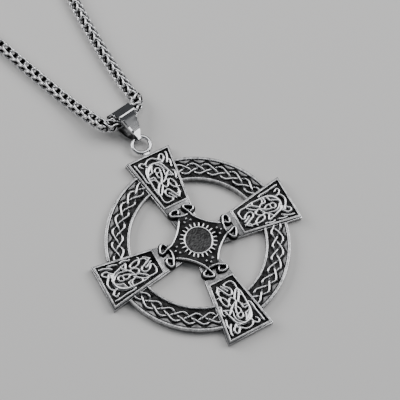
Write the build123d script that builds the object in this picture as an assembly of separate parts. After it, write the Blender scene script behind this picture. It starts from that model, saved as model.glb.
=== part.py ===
# A cast steel cross pendant with a ring, raised interlace, a folded bail and a neck chain.
# Millimetres. The back of the cross lies on z = 0 with its centre at the origin.
# +Z is the decorated face, +Y points along the upper arm to the bail and the chain.
import os
from math import atan2, cos, degrees, pi, radians, sin, sqrt, tan

from build123d import *

os.makedirs("parts", exist_ok=True)

# Arms
arm_reach = 27.4
arm_end_width = 12.9
arm_root_width = 7.24
arm_root_at = 10.0
arm_thickness = 2.4
end_rim = 0.55
side_rim = 0.75
root_rim = 0.55
root_edge_at = 12.0
panel_depth = 0.7
root_drop = 0.2
step_at = 10.2
step_drop = 0.65
arm_edge_bevel = 0.18
panel_relief_drop = 0.1

# Ring
ring_outer_radius = 23.8
ring_inner_radius = 17.45
ring_rim_height = 2.1
outer_rim_width = 0.75
inner_rim_width = 0.6
ring_floor_drop = 0.7
ledge_width = 0.9
ledge_drop = 0.25
ring_joint_depth = 0.3

# Plait on the ring
plait_strands = 3
plait_turn = 30.0
plait_peak_at = 45.0
plait_radius = 20.62
plait_swing = 1.4
plait_strand_width = 0.5
plait_drop = 0.1
plait_step = 2.5
plait_overlap_turn = 2.0

# Hub
hub_arc_centre = 13.4
hub_arc_radius = 13.2
hub_wire_width = 0.5
hub_height = 3.35
hub_floor_drop = 0.6
hub_tip_at = 7.66
centre_ring_radius = 3.8
centre_ring_width = 0.45
centre_disc_drop = 0.5
ray_count = 24
ray_length = 1.05
ray_width = 0.33
ray_drop = 0.05
dot_radius = 0.22
dot_drop = 0.1

# Loop on the upper arm
loop_outer_radius = 2.95
loop_wire = 1.15
loop_height = 1.8
loop_neck_length = 0.3
loop_neck_width = 1.7
loop_neck_thickness = 0.75

# Chain and clasp
chain_diameter = 3.0
clasp_diameter = 5.0
clasp_socket_depth = 4.0
clasp_socket_clearance = 0.15
clasp_bevel = 0.6

# Bail, a strip folded round the loop and over the chain
bail_wall = 0.6
bail_width = 6.2
bail_tip_width = 1.1
bail_chain_clearance = 0.8
bail_loop_clearance = 0.35
bail_front_length = 7.4
bail_swell_width = 4.3
bail_knee_at = 1.45
bail_knee_depth = 1.5
bail_knee_width = 2.6
bail_fold_rise = 1.45
bail_fold_inset = 1.15
bail_lean = 9.0
bail_slope = 21.0
bail_roll = 18.0

# Relief strokes reach this far down into the metal below them
root_depth = 0.3

# Cutting outlines run this far past what they cut
cut_margin = 1.0

# The panel chart is drawn by hand on squares: rows from the root edge to the end rim,
# columns to each side of the middle line, fewer at the root than at the end.
chart_rows = 14.85
chart_root_columns = 3.3
chart_end_columns = 5.6
smooth_steps = 2

# Each stroke is a row of (column, row, width), from one end to the other.
panel_chart = {
    "left_bar": [
        (-4.5, 14.0, 0.5), (-4.45, 13.1, 0.5), (-4.25, 11.9, 0.42), (-4.05, 10.6, 0.42),
        (-4.0, 9.3, 0.42), (-3.9, 8.4, 0.42), (-3.65, 8.0, 0.42),
    ],
    "left_ear": [
        (-3.0, 12.4, 0.3), (-3.35, 12.9, 0.38), (-3.5, 13.4, 0.42), (-3.2, 13.8, 0.42),
        (-2.75, 13.85, 0.42), (-2.35, 13.5, 0.42), (-1.95, 13.1, 0.42), (-1.85, 12.3, 0.42),
    ],
    "brow": [
        (-2.0, 13.0, 0.42), (-1.4, 13.7, 0.42), (-0.7, 14.0, 0.42), (0.0, 14.05, 0.42),
        (0.7, 13.85, 0.42), (1.3, 13.4, 0.42), (1.8, 12.95, 0.42),
    ],
    "right_ear": [
        (1.75, 12.9, 0.42), (2.35, 13.6, 0.42), (2.85, 14.1, 0.42), (3.3, 14.0, 0.42),
        (3.52, 13.4, 0.42), (3.4, 12.75, 0.42), (2.9, 12.35, 0.42), (2.3, 11.7, 0.42),
    ],
    "right_ear_fold": [(1.75, 12.95, 0.4), (2.25, 12.75, 0.4), (2.5, 12.3, 0.4), (2.35, 11.8, 0.4)],
    "cheek": [(1.0, 12.3, 0.38), (1.6, 12.25, 0.38), (2.3, 12.0, 0.38)],
    "back": [
        (-2.75, 3.8, 0.42), (-3.0, 4.6, 0.42), (-3.05, 6.2, 0.45), (-3.05, 7.5, 0.5),
        (-3.0, 8.8, 0.5), (-2.85, 9.9, 0.6), (-2.45, 10.9, 0.95), (-1.85, 11.7, 1.15),
        (-1.0, 12.25, 0.85), (-0.1, 12.45, 0.6), (0.8, 12.3, 0.5), (1.6, 11.9, 0.5),
        (2.15, 11.2, 0.5), (2.45, 10.3, 0.55), (2.8, 9.2, 0.5), (3.1, 8.2, 0.45), (3.3, 7.4, 0.42),
    ],
    "shoulder": [(-2.6, 9.9, 0.35), (-2.0, 10.1, 0.38), (-1.4, 10.2, 0.42)],
    "collar": [(-1.4, 10.2, 0.36), (-1.2, 10.9, 0.36), (-0.9, 11.6, 0.36), (-0.5, 12.2, 0.36)],
    "neck": [
        (0.2, 12.3, 0.3), (1.0, 11.6, 0.3), (1.55, 10.8, 0.3), (1.75, 9.9, 0.3), (1.6, 9.1, 0.3),
        (1.45, 8.0, 0.3),
    ],
    "brow_ring": [
        (-0.5, 9.7, 0.38), (-0.55, 10.3, 0.4), (-0.25, 10.8, 0.4), (0.2, 10.95, 0.4),
        (0.7, 10.75, 0.4), (0.9, 10.2, 0.4), (0.7, 9.65, 0.4),
    ],
    "brow_ring_foot": [(0.8, 9.75, 0.36), (0.1, 9.55, 0.36), (-0.55, 9.65, 0.36)],
    "muzzle_left": [(-0.45, 9.7, 0.36), (-0.6, 9.0, 0.38), (-0.5, 8.4, 0.38), (0.1, 7.6, 0.4)],
    "muzzle_right": [(0.65, 9.75, 0.36), (0.65, 9.1, 0.38), (0.5, 8.5, 0.38), (0.2, 7.8, 0.4)],
    "tongue": [
        (0.2, 7.9, 0.42), (-0.15, 7.3, 0.42), (-0.55, 6.6, 0.42), (-0.62, 6.1, 0.42), (-0.4, 5.6, 0.42),
    ],
    "right_leg": [
        (2.45, 8.85, 0.42), (1.8, 8.2, 0.45), (1.1, 7.5, 0.42), (0.4, 6.95, 0.42), (-0.4, 6.6, 0.42),
    ],
    "right_heel": [(2.3, 8.7, 0.38), (2.85, 8.95, 0.38), (3.05, 8.4, 0.38)],
    "right_toe": [(1.9, 8.1, 0.38), (2.5, 7.75, 0.4), (3.3, 7.35, 0.45)],
    "left_elbow": [
        (-3.0, 8.9, 0.38), (-2.3, 8.9, 0.38), (-1.75, 8.95, 0.4), (-1.5, 8.4, 0.4), (-1.45, 7.7, 0.4),
        (-1.25, 7.0, 0.4), (-0.9, 6.6, 0.4),
    ],
    "left_elbow_fold": [(-2.95, 8.2, 0.3), (-2.3, 8.25, 0.3), (-1.9, 8.1, 0.3), (-1.5, 7.5, 0.3)],
    "left_leg": [
        (-1.0, 6.9, 0.45), (-1.7, 6.0, 0.45), (-2.2, 5.3, 0.42), (-2.6, 4.5, 0.4), (-2.75, 3.8, 0.38),
    ],
    "left_knee": [(-3.05, 5.7, 0.38), (-2.6, 5.45, 0.4), (-2.1, 5.5, 0.4)],
    "left_foot": [
        (-0.5, 5.9, 0.42), (-0.9, 5.3, 0.42), (-1.4, 4.6, 0.42), (-1.9, 4.0, 0.42), (-2.6, 3.5, 0.42),
    ],
    "belly": [
        (-0.5, 5.7, 0.45), (-0.1, 5.2, 0.42), (0.4, 5.15, 0.4), (0.8, 5.5, 0.4), (1.1, 5.9, 0.4),
        (1.3, 6.4, 0.4),
    ],
    "hip": [(0.9, 7.3, 0.38), (1.2, 6.9, 0.38), (1.3, 6.3, 0.38)],
    "thigh_outer": [
        (1.25, 6.2, 0.42), (1.65, 6.75, 0.42), (2.2, 6.6, 0.42), (2.6, 5.9, 0.42), (2.8, 5.0, 0.42),
        (2.7, 4.3, 0.42), (2.3, 3.9, 0.42),
    ],
    "thigh_inner": [(1.25, 6.4, 0.4), (1.3, 5.7, 0.4), (1.45, 5.1, 0.4), (1.8, 4.4, 0.4), (2.4, 3.9, 0.4)],
    "spur": [(2.3, 3.9, 0.4), (2.9, 3.85, 0.42), (3.3, 3.9, 0.45)],
    "shin": [(2.5, 3.9, 0.38), (2.6, 3.0, 0.38), (2.3, 2.5, 0.38), (1.8, 2.2, 0.38)],
    "tail": [
        (-0.1, 4.45, 0.42), (-0.7, 4.25, 0.42), (-1.0, 3.8, 0.4), (-1.05, 3.2, 0.4), (-0.8, 2.6, 0.4),
        (-0.35, 2.1, 0.4), (0.05, 1.7, 0.4), (-0.05, 1.25, 0.42), (-0.6, 1.05, 0.42),
        (-1.3, 1.0, 0.42), (-2.0, 1.1, 0.42), (-2.5, 1.6, 0.42), (-2.65, 2.4, 0.42),
        (-2.65, 3.2, 0.42), (-2.75, 3.95, 0.42),
    ],
    "haunch": [
        (-0.3, 4.45, 0.42), (0.3, 4.2, 0.45), (0.75, 3.4, 0.5), (1.2, 2.5, 0.5), (1.6, 1.7, 0.5),
        (1.85, 1.2, 0.45),
    ],
    "haunch_bar": [(-0.1, 3.15, 0.42), (0.3, 2.5, 0.35), (0.65, 1.85, 0.35), (0.95, 1.25, 0.35)],
    "claw": [(1.75, 1.2, 0.42), (2.3, 1.9, 0.42), (2.8, 2.5, 0.42)],
    "right_bar": [
        (4.65, 14.1, 0.45), (4.6, 13.4, 0.42), (4.35, 12.6, 0.42), (4.0, 11.9, 0.42), (3.5, 11.2, 0.42),
    ],
    "right_bar_fold": [(4.6, 11.9, 0.38), (4.5, 11.0, 0.42), (4.3, 10.3, 0.42), (4.1, 9.6, 0.38)],
    "right_hook": [
        (3.95, 8.7, 0.38), (4.2, 8.2, 0.4), (4.15, 7.5, 0.42), (3.9, 6.8, 0.42), (3.7, 6.4, 0.4),
        (3.85, 6.0, 0.4),
    ],
}

# Knots at the hub's tips, as shares of the tip's distance from the centre: (across, along).
knot_strokes = {
    "left_curl": [
        (-0.205, 1.01), (-0.15, 1.135), (-0.098, 1.227), (-0.163, 1.292), (-0.287, 1.305),
        (-0.392, 1.253), (-0.405, 1.175),
    ],
    "cross_strand": [
        (-0.4, 1.2), (-0.372, 1.136), (-0.294, 1.097), (-0.163, 1.031), (-0.033, 1.0), (0.098, 1.0),
        (0.235, 1.025), (0.32, 1.057), (0.405, 1.105), (0.428, 1.175),
    ],
    "right_curl": [
        (0.228, 1.02), (0.163, 1.162), (0.124, 1.279), (0.163, 1.331), (0.268, 1.305),
        (0.359, 1.253), (0.424, 1.165),
    ],
}
dot_places = [(0.0, 0.86), (0.114, 0.757), (-0.114, 0.757)]

# The chain's way round, from one end in the clasp to the other.
chain_route = [
    (-15.0, 267.5, 2.5), (-27.0, 267.5, 2.5), (-44.0, 262.0, 1.5), (-59.5, 246.0, 1.5),
    (-67.5, 220.5, 1.5), (-66.5, 191.0, 1.5), (-59.0, 161.0, 1.5), (-48.0, 133.0, 1.5),
    (-36.5, 110.0, 1.5), (-26.5, 91.0, 1.5), (-19.2, 72.0, 1.5), (-13.0, 54.5, 1.5),
    (-9.1, 44.0, 2.8), (-6.4, 37.0, 5.0), (5.2, 40.6, 2.3), (4.4, 46.6, 1.5),
    (3.6, 59.0, 1.5), (3.9, 79.0, 1.5), (6.5, 103.0, 1.5), (13.0, 130.0, 1.5),
    (24.0, 157.0, 1.5), (35.5, 186.0, 1.5), (40.0, 216.0, 1.5), (34.5, 243.0, 1.5),
    (20.5, 260.5, 1.5), (7.0, 267.5, 2.5), (-5.0, 267.5, 2.5),
]
bend_share = 0.45


def arm_half_width(y):
    slope = (arm_end_width - arm_root_width) / 2 / (arm_reach - arm_root_at)
    return arm_root_width / 2 + slope * (y - arm_root_at)


def trapezoid(y_low, y_high, inset):
    """The arm's outline between two distances from the centre, narrower by inset on each side."""
    low = arm_half_width(y_low) - inset
    high = arm_half_width(y_high) - inset
    return make_face(Polyline((-low, y_low), (low, y_low), (high, y_high), (-high, y_high), close=True))


def prism(face, z_low, z_high):
    return extrude(Pos(0, 0, z_low) * face, amount=z_high - z_low)


def smoothed(rows, steps):
    """Points on a smooth curve through the rows, with their widths."""
    found = []
    last = len(rows) - 1
    for i in range(last):
        before = rows[max(i - 1, 0)]
        here = rows[i]
        there = rows[i + 1]
        after = rows[min(i + 2, last)]
        for k in range(steps):
            t = k / steps
            blend = []
            for a, b, c, d in zip(before, here, there, after):
                value = b + 0.5 * t * (c - a + t * (2 * a - 5 * b + 4 * c - d + t * (3 * (b - c) + d - a)))
                blend.append(value)
            found.append(tuple(blend))
    found.append(tuple(rows[last]))
    return found


def band(rows):
    """A flat band of varying width along (x, y, width) rows."""
    left = []
    right = []
    last = len(rows) - 1
    for i, (x, y, width) in enumerate(rows):
        x_before, y_before, _ = rows[max(i - 1, 0)]
        x_after, y_after, _ = rows[min(i + 1, last)]
        along = atan2(y_after - y_before, x_after - x_before)
        shift = Vector(-sin(along), cos(along)) * width / 2
        left.append(Vector(x, y) + shift)
        right.append(Vector(x, y) - shift)
    return make_face(Polyline(*left, *reversed(right), close=True))


def four_times(shape):
    return [shape.rotate(Axis.Z, 90 * k) for k in range(4)]


def panel_stroke(rows):
    """A charted stroke laid out on the real panel."""
    height = arm_reach - end_rim - root_edge_at
    placed = []
    for column, row, width in rows:
        y = root_edge_at + height * row / chart_rows
        chart_half = chart_root_columns + (chart_end_columns - chart_root_columns) * row / chart_rows
        scale = (arm_half_width(y) - side_rim) / chart_half
        placed.append((column * scale, y, width))
    return band(smoothed(placed, smooth_steps))


def make_arm():
    """The upper arm with its sunk panel, its relief and the lower step beside the hub."""
    outline = trapezoid(0, arm_reach, 0)
    arm = prism(outline, 0, arm_thickness)
    arm = chamfer(arm.faces().sort_by(Axis.Z)[-1].edges().sort_by(Axis.Y)[1:], arm_edge_bevel)
    floor = arm_thickness - panel_depth
    panel = trapezoid(root_edge_at, arm_reach - end_rim, side_rim)
    arm -= prism(panel, floor, arm_thickness)
    root_flat = trapezoid(0, root_edge_at - root_rim, -cut_margin)
    arm -= prism(root_flat, arm_thickness - root_drop, arm_thickness)
    step = trapezoid(0, step_at, -cut_margin)
    arm -= prism(step, arm_thickness - step_drop, arm_thickness)
    strokes = Sketch() + [panel_stroke(rows) for rows in panel_chart.values()]
    return arm + prism(strokes, floor - root_depth, arm_thickness - panel_relief_drop)


def ring_band(inner, outer, z_low, z_high):
    """A flat ring, left out where the arms stand but for a joint's depth."""
    flat = Circle(outer) - Circle(inner)
    flat -= four_times(trapezoid(0, arm_reach, ring_joint_depth))
    return prism(flat, z_low, z_high)


def plait_rows(strand, start, stop):
    rows = []
    steps = round((stop - start) / plait_step)
    for i in range(steps + 1):
        angle = start + i * (stop - start) / steps
        phase = 2 * pi * ((angle - plait_peak_at) / plait_turn + strand / plait_strands)
        radius = plait_radius + plait_swing * cos(phase)
        rows.append((radius * cos(radians(angle)), radius * sin(radians(angle)), plait_strand_width))
    return rows


def make_ring():
    floor = ring_rim_height - ring_floor_drop
    ledge_outer = ring_outer_radius - outer_rim_width
    ring = ring_band(ring_inner_radius, ring_outer_radius, 0, floor)
    ring += ring_band(ledge_outer, ring_outer_radius, floor - root_depth, ring_rim_height)
    ledge_top = ring_rim_height - ledge_drop
    ring += ring_band(ledge_outer - ledge_width, ledge_outer, floor - root_depth, ledge_top)
    inner_rim_edge = ring_inner_radius + inner_rim_width
    ring += ring_band(ring_inner_radius, inner_rim_edge, floor - root_depth, ring_rim_height)
    hidden = degrees(atan2(arm_half_width(plait_radius) - side_rim, plait_radius))
    start = hidden - plait_overlap_turn
    stop = 90 - start
    bands = [band(plait_rows(strand, start, stop)) for strand in range(plait_strands)]
    quarter = Sketch() + bands
    quarter -= trapezoid(0, arm_reach, ring_joint_depth)
    quarter -= trapezoid(0, arm_reach, ring_joint_depth).rotate(Axis.Z, -90)
    plait = prism(quarter, floor - root_depth, ring_rim_height - plait_drop)
    return ring + four_times(plait)


def hub_corner_circle(radius, x_side, y_side):
    return Pos(x_side * hub_arc_centre, y_side * hub_arc_centre) * Circle(radius)


def hub_outline(wire_share):
    """The four-pointed plate with hollow sides, out to a share of the wire's width."""
    reach = hub_tip_at + hub_wire_width / 2
    plate = Rectangle(2 * reach, 2 * reach)
    radius = hub_arc_radius - hub_wire_width * wire_share
    for x_side in (-1, 1):
        for y_side in (-1, 1):
            plate -= hub_corner_circle(radius, x_side, y_side)
    return plate


def knot_band(shares):
    rows = [(across * hub_tip_at, along * hub_tip_at, hub_wire_width) for across, along in shares]
    return band(smoothed(rows, smooth_steps))


def make_hub():
    """The raised middle: hollow-sided plate, edge wires, knots, rays, dots and centre ring."""
    floor = hub_height - hub_floor_drop
    wire_foot = arm_thickness - step_drop - root_depth
    hub = prism(hub_outline(0.5), 0, floor)
    wires = hub_outline(0.5) - hub_outline(-0.5)
    hub += prism(wires, wire_foot, hub_height)
    knots = Sketch() + [knot_band(shares) for shares in knot_strokes.values()]
    hub += four_times(prism(knots, wire_foot, hub_height))
    ring_inner = centre_ring_radius - centre_ring_width
    hub += prism(Sketch() + Circle(ring_inner), floor - root_depth, hub_height - centre_disc_drop)
    hub += prism(Circle(centre_ring_radius) - Circle(ring_inner), floor - root_depth, hub_height)
    ray_middle = centre_ring_radius + ray_length / 2 - root_depth / 2
    ray = Pos(ray_middle, 0) * Rectangle(ray_length + root_depth, ray_width)
    ray_block = prism(Sketch() + ray, floor - root_depth, hub_height - ray_drop)
    hub += [ray_block.rotate(Axis.Z, 360 / ray_count * k) for k in range(ray_count)]
    dots = Sketch() + [Pos(x * hub_tip_at, y * hub_tip_at) * Circle(dot_radius) for x, y in dot_places]
    hub += four_times(prism(dots, floor - root_depth, hub_height - dot_drop))
    return hub


def loop_centre():
    return Vector(0, arm_reach + loop_neck_length + loop_outer_radius, loop_height)


def make_hanging_loop():
    torus = Torus(loop_outer_radius - loop_wire / 2, loop_wire / 2)
    loop = Pos(*loop_centre()) * torus
    neck_reach = loop_neck_length + loop_wire / 2
    neck_overlap = end_rim / 2
    neck = Box(loop_neck_width, neck_reach + neck_overlap, loop_neck_thickness)
    return loop + Pos(0, arm_reach + (neck_reach - neck_overlap) / 2, loop_height) * neck


def make_cross_pendant():
    arms = four_times(make_arm())
    others = [make_ring(), make_hub(), make_hanging_loop()]
    return arms[0] + [*arms[1:], *others]


def bail_plane():
    """Width to x, from the loop to the fold along y, front face to z."""
    contact = loop_outer_radius - loop_wire / 2
    lean = radians(bail_lean)
    foot = loop_centre() + Vector(-sin(lean), cos(lean), 0) * contact
    turned = Location(foot) * Rot(0, 0, bail_lean) * Rot(bail_slope, 0, 0) * Rot(0, bail_roll, 0)
    return Plane(turned)


def bail_profile():
    """The strip's inner side outline: a rounded foot, bent cheeks and a bevelled fold."""
    foot_radius = loop_wire / 2 + bail_loop_clearance
    half_depth = chain_diameter / 2 + bail_chain_clearance
    corner_at = bail_front_length - bail_wall
    front = [
        (bail_knee_at, bail_knee_depth),
        (corner_at, half_depth),
        (corner_at + bail_fold_rise, half_depth - bail_fold_inset),
    ]
    back = [(u, -w) for u, w in reversed(front)]
    reach = sqrt(bail_knee_at ** 2 + bail_knee_depth ** 2)
    tangent = atan2(bail_knee_depth, bail_knee_at) + pi / 2 - foot_shift(foot_radius, reach)
    touch = (foot_radius * cos(tangent), foot_radius * sin(tangent))
    side = Polyline(touch, *front, *back, (touch[0], -touch[1]))
    foot = ThreePointArc((touch[0], -touch[1]), (-foot_radius, 0), touch)
    return make_face(side + foot)


def foot_shift(radius, reach):
    """How far the straight cheek turns the point where it leaves the round foot."""
    return atan2(radius, sqrt(reach ** 2 - radius ** 2))


def make_bail():
    inner = bail_profile()
    side = offset(inner, amount=bail_wall, kind=Kind.INTERSECTION) - inner
    strip = extrude(Plane.YZ * side, amount=bail_width, both=True)
    fold_at = bail_front_length + bail_fold_rise
    foot_at = loop_wire / 2 + bail_loop_clearance + bail_wall
    half = bail_width / 2
    tip = bail_tip_width / 2
    knee = bail_knee_width / 2
    swell = bail_swell_width / 2
    middle = (bail_knee_at + bail_front_length) / 2
    below = -foot_at - cut_margin
    above = fold_at + cut_margin
    outline = make_face(
        Polyline((tip, below), (tip, 0))
        + Spline((tip, 0), (knee, bail_knee_at), (swell, middle), (half, bail_front_length))
        + Polyline((half, bail_front_length), (half, above), (-half, above), (-half, bail_front_length))
        + Spline((-half, bail_front_length), (-swell, middle), (-knee, bail_knee_at), (-tip, 0))
        + Polyline((-tip, 0), (-tip, below), (tip, below))
    )
    strip &= extrude(outline, amount=bail_width + chain_diameter, both=True)
    return bail_plane().location * strip


def route_bends(route):
    """A radius for each corner of a route, as large as its two runs allow."""
    bends = []
    for before, here, after in zip(route, route[1:], route[2:]):
        run_in = Vector(here) - Vector(before)
        run_out = Vector(after) - Vector(here)
        half_turn = radians(run_in.get_angle(run_out)) / 2
        bends.append(bend_share * min(run_in.length, run_out.length) / tan(half_turn))
    return bends


def make_chain():
    bends = route_bends(chain_route)
    path = FilletPolyline(*chain_route, radius=bends)
    start = Plane(origin=path @ 0, z_dir=path % 0)
    chain = sweep(start * Circle(chain_diameter / 2), path=path)
    print("chain bend radii:", [round(b, 1) for b in bends])
    section = pi * chain_diameter ** 2 / 4
    print("chain length", round(path.length, 2), "volume", round(chain.volume, 1), "against",
          round(section * path.length, 1))
    return chain


def make_clasp():
    """A plain barrel whose two sockets take the chain's ends."""
    first = Vector(chain_route[0])
    last = Vector(chain_route[-1])
    middle = (first + last) / 2
    gap = (last - first).length
    barrel = Cylinder(clasp_diameter / 2, gap + 2 * clasp_socket_depth)
    barrel = chamfer(barrel.edges().filter_by(GeomType.CIRCLE), clasp_bevel)
    socket = Cylinder(chain_diameter / 2 + clasp_socket_clearance, clasp_socket_depth)
    for side in (-1, 1):
        barrel -= Pos(0, 0, side * (gap + clasp_socket_depth) / 2) * socket
    return Pos(*middle) * Rot(0, 90, 0) * barrel


pieces = {
    "cross_pendant": make_cross_pendant(),
    "bail": make_bail(),
    "chain": make_chain(),
    "clasp": make_clasp(),
}
for name, piece in pieces.items():
    export_step(piece, "parts/" + name + ".step")
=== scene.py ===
from math import atan2, cos, degrees, pi, radians, sin, sqrt

import bmesh
import bpy
from mathutils import Matrix, Vector


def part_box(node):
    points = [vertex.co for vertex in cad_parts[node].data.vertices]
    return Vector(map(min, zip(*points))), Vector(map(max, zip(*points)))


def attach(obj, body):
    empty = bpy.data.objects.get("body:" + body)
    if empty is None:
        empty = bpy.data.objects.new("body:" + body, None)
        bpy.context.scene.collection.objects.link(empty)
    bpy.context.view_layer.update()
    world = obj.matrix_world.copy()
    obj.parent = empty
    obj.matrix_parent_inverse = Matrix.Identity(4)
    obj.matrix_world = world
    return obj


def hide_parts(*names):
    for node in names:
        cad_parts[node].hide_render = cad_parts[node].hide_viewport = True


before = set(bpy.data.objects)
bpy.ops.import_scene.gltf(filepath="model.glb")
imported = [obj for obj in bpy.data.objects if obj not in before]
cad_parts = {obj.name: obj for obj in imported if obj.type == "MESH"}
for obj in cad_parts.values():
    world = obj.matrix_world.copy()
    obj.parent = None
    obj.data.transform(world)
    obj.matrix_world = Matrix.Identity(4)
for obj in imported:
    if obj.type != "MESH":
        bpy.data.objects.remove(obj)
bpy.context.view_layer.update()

metre = 1000.0

# A corner or face this close to a level counts as on it.
near = 0.01

cross_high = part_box("cross_pendant")[1]
clasp_low, clasp_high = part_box("clasp")

# Arms
arm_reach = cross_high.x * metre
arm_root_width = 7.24
arm_end_width = 12.9
arm_root_at = 10.0
arm_start = 3.0
arm_thickness = 2.4
arm_step_height = 1.75
arm_step_at = 10.2
arm_root_flat_height = 2.2
arm_rim_start = 11.45
rim_width = 0.5
side_rim_width = 0.55
side_step_width = 0.22
side_step_height = 1.5
side_step_bevel = 0.09
panel_depth = 0.7
rim_bevel = 0.16

# Ring
ring_outer = 23.8
ring_inner = 17.45
ring_height = 2.1
ring_floor = 1.4
ring_outer_rim = 0.75
ring_inner_rim = 0.6
ring_bevel = 0.17
ring_start_turn = 13.9
ring_steps = 60

# Plait
plait_radius = 20.55
plait_swing = 1.38
plait_sharpness = 0.09
plait_turn = 30.0
plait_peak_at = 45.0
plait_width = 0.64
plait_dip = 0.45
plait_crown = 2.05
plait_step = 0.9
plait_end_turn = 0.3

# Wedges between the plait's outer peaks and the rim
wedge_count = 6
wedge_outer = 22.85
wedge_depth = 0.85
wedge_length = 3.3
wedge_point = 0.35
wedge_height = 1.85
wedge_bevel = 0.1

# Hub
hub_arc_centre = 13.4
hub_arc_radius = 13.2
hub_tip = 7.66
hub_height = cross_high.z * metre
hub_floor = 2.75
hub_strand_width = 0.6
hub_strand_lift = 0.13
hub_arc_steps = 10
knot_width_share = 0.92
# The black bed under each tip's knot is a painted shadow round it.
knot_shadow_width = 1.3
knot_shadow_height = 2.5
centre_ring_middle = 3.575
centre_ring_width = 0.5
centre_ring_drop = 0.02
centre_ring_steps = 24
disc_height = 2.95
disc_thickness = 0.3
dish_steps = 4
dish_step_width = 0.7
dish_step_drop = 0.045
ray_count = 24
ray_from = 3.7
ray_to = 4.85
ray_width = 0.4
ray_taper = 0.85
ray_drop = 0.08
ray_bevel = 0.12
dot_radius = 0.38
dot_stretch = 1.3
dot_seat = 0.2

# Strands
strand_draft = 0.06
strand_wall = 1.1
strand_unit = 0.42
stroke_crown = 2.32
stroke_gain = 1.65
stroke_tuck = 0.14
end_reach_share = 0.4
end_width_share = 0.35
floor_cover = 0.1

# Bail: how it is turned, its border, and how far its front dips at distances from the foot
bail_lean = 9
bail_slope = 21
bail_roll = 18
bail_border = 0.35
bail_border_rise = 0.09
bail_border_shift = 0.15
bail_dish = [(2.6, 0.1), (3.6, 0.16), (4.6, 0.16), (5.6, 0.1)]
bail_bevel = 0.14
bail_fold_at = 8.0
bail_front_start = 1.3
bail_front_height = 2.08
bail_front_climb = 0.15

# Hanging loop
loop_outer = 2.95
loop_wire = 1.15
loop_height = 1.8
loop_neck = 0.3
loop_neck_width = 1.7
loop_neck_thickness = 0.75
loop_neck_bevel = 0.2

# Chain and clasp
chain_width = 3.0
link_step = 1.3
link_face = (-0.2, -0.24, 0.95)
link_roll = 60.0
link_lift = 0.25
socket_clearance = 0.15
socket_depth = 4.0
groove_places = (-6.0, -5.2, 5.2, 6.0)
groove_half_width = 0.15
groove_side = 0.02
groove_depth = 0.25
clasp_bevel = 0.12

# A quarter of one link's wire, from its fold inside the chain to its round end:
# (out from the chain's middle line, to the side, on along the chain, thickness of the wire).
link_quarter = [
    (0.0, 0.24, 0.0, 0.5),
    (0.55, 0.24, 0.0, 0.5),
    (0.95, 0.18, 0.05, 0.54),
    (1.18, 0.2, 0.35, 0.58),
    (1.25, 0.56, 0.9, 0.6),
    (1.14, 0.9, 1.4, 0.6),
    (1.0, 1.05, 1.85, 0.58),
    (0.84, 0.94, 2.4, 0.52),
    (0.65, 0.52, 2.9, 0.5),
    (0.6, 0.0, 3.1, 0.5),
]

# Where each quarter turn of the cross stands
quarters = ("upper", "left", "lower", "right")

# The panel chart is drawn on squares: rows from the root edge to the end rim,
# columns to each side of the middle line, fewer at the root than at the end.
chart_rows = 14.85
chart_root_columns = 3.3
chart_end_columns = 5.6

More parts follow.
